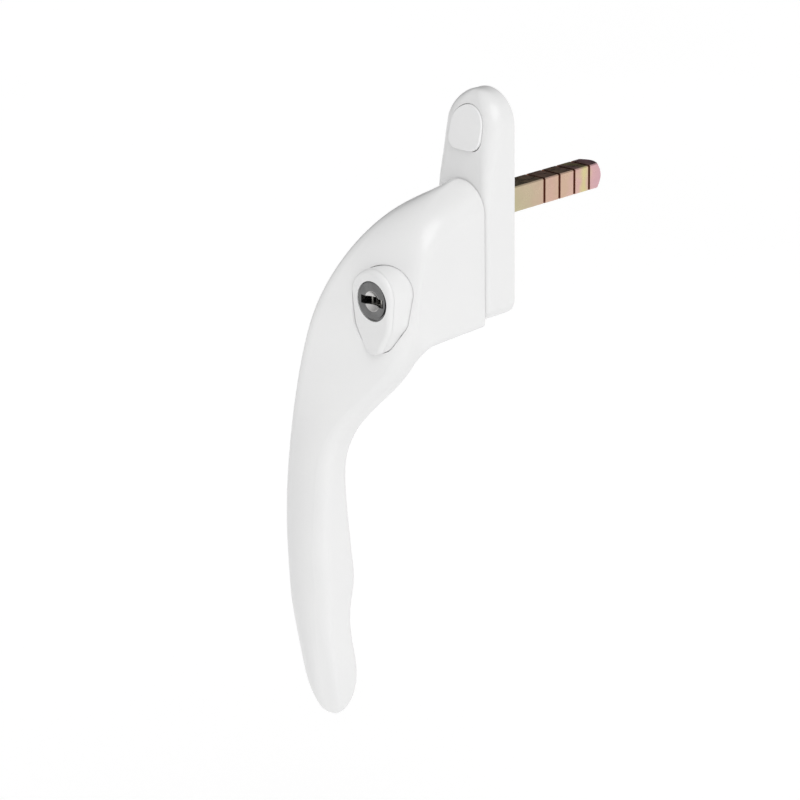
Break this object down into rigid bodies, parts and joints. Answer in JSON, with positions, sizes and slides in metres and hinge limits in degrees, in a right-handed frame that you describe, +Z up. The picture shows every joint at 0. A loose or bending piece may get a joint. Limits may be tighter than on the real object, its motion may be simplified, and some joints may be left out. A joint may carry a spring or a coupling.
{
  "type": "tilt turn window handle",
  "caption": "Left hand cranked tilt turn window handle with push button key lock, screw cap, backplate and square spindle.",
  "frame": {"origin": "on the spindle axis at the rear mounting face of the backplate", "axes": "+X right seen from the room, +Y into the window sash along the spindle, +Z up; the grip hangs towards -Z in the closed position"},
  "size_m": [0.037, 0.0939, 0.1724],
  "materials": {
    "white_coat": "gloss powder coat",
    "white_button": "gloss",
    "white_cap": "gloss",
    "zinc_yellow": "yellow passivated",
    "nickel": "satin nickel",
    "steel": "plain",
    "spring_steel": "bright",
    "brass": "machined",
    "nickel_silver": "punched",
    "acetal": "matte",
    "die_cast": "as cast"
  },
  "bodies": {
    "plate": {"backplate": "white_coat", "lock_ring": "steel", "hub_bush": "acetal", "rear_cover": "steel", "rear_cover_rivets": "steel", "detent_springs": "spring_steel", "screw_cap": "white_cap"},
    "handle": {"handle_lever": "white_coat", "spindle": "zinc_yellow", "spindle_cross_pin": "steel", "detent_cam": "die_cast", "wave_washer": "spring_steel", "retaining_ring": "spring_steel", "carriage_stop_screws": "steel", "button_return_spring": "spring_steel"},
    "button": {"lock_button": "white_button", "barrel_sleeve": "nickel", "button_carriage": "die_cast", "locking_pin": "steel", "latch_spring": "spring_steel"},
    "barrel": {"lock_barrel": "nickel", "barrel_clip": "spring_steel", "tail_cam": "steel"},
    "latch": {"latch_slide": "brass"},
    "wafers": {"wafer_tumblers": "nickel_silver"}
  },
  "joints": [
    {"name": "handle_turn", "type": "hinge", "parent": "plate", "child": "handle", "pos_m": [0, 0, 0], "axis": [0, 1, 0], "range_deg": [0, 180], "deforming": ["detent_springs"]},
    {"name": "button_push", "type": "slide", "parent": "handle", "child": "button", "axis": [0, 1, 0], "range_m": [0, 0.003], "stiffness_N_per_m": 900, "springref_m": -0.004, "deforming": ["button_return_spring"]},
    {"name": "barrel_turn", "type": "hinge", "parent": "button", "child": "barrel", "pos_m": [0, -0.0434, -0.0172], "axis": [0, 1, 0], "range_deg": [0, 90]},
    {"name": "latch_draw", "type": "slide", "parent": "button", "child": "latch", "axis": [1, 0, 0], "range_m": [0, 0.0015], "deforming": ["latch_spring"]},
    {"name": "wafer_lift", "type": "slide", "parent": "barrel", "child": "wafers", "axis": [0, 0, 1], "range_m": [0, 0.0003], "stiffness_N_per_m": 60, "springref_m": -0.0006}
  ],
  "couplings": [
    {"joint": "barrel_turn", "follows": "latch_draw", "rad_per_m": 1047.2}
  ]
}
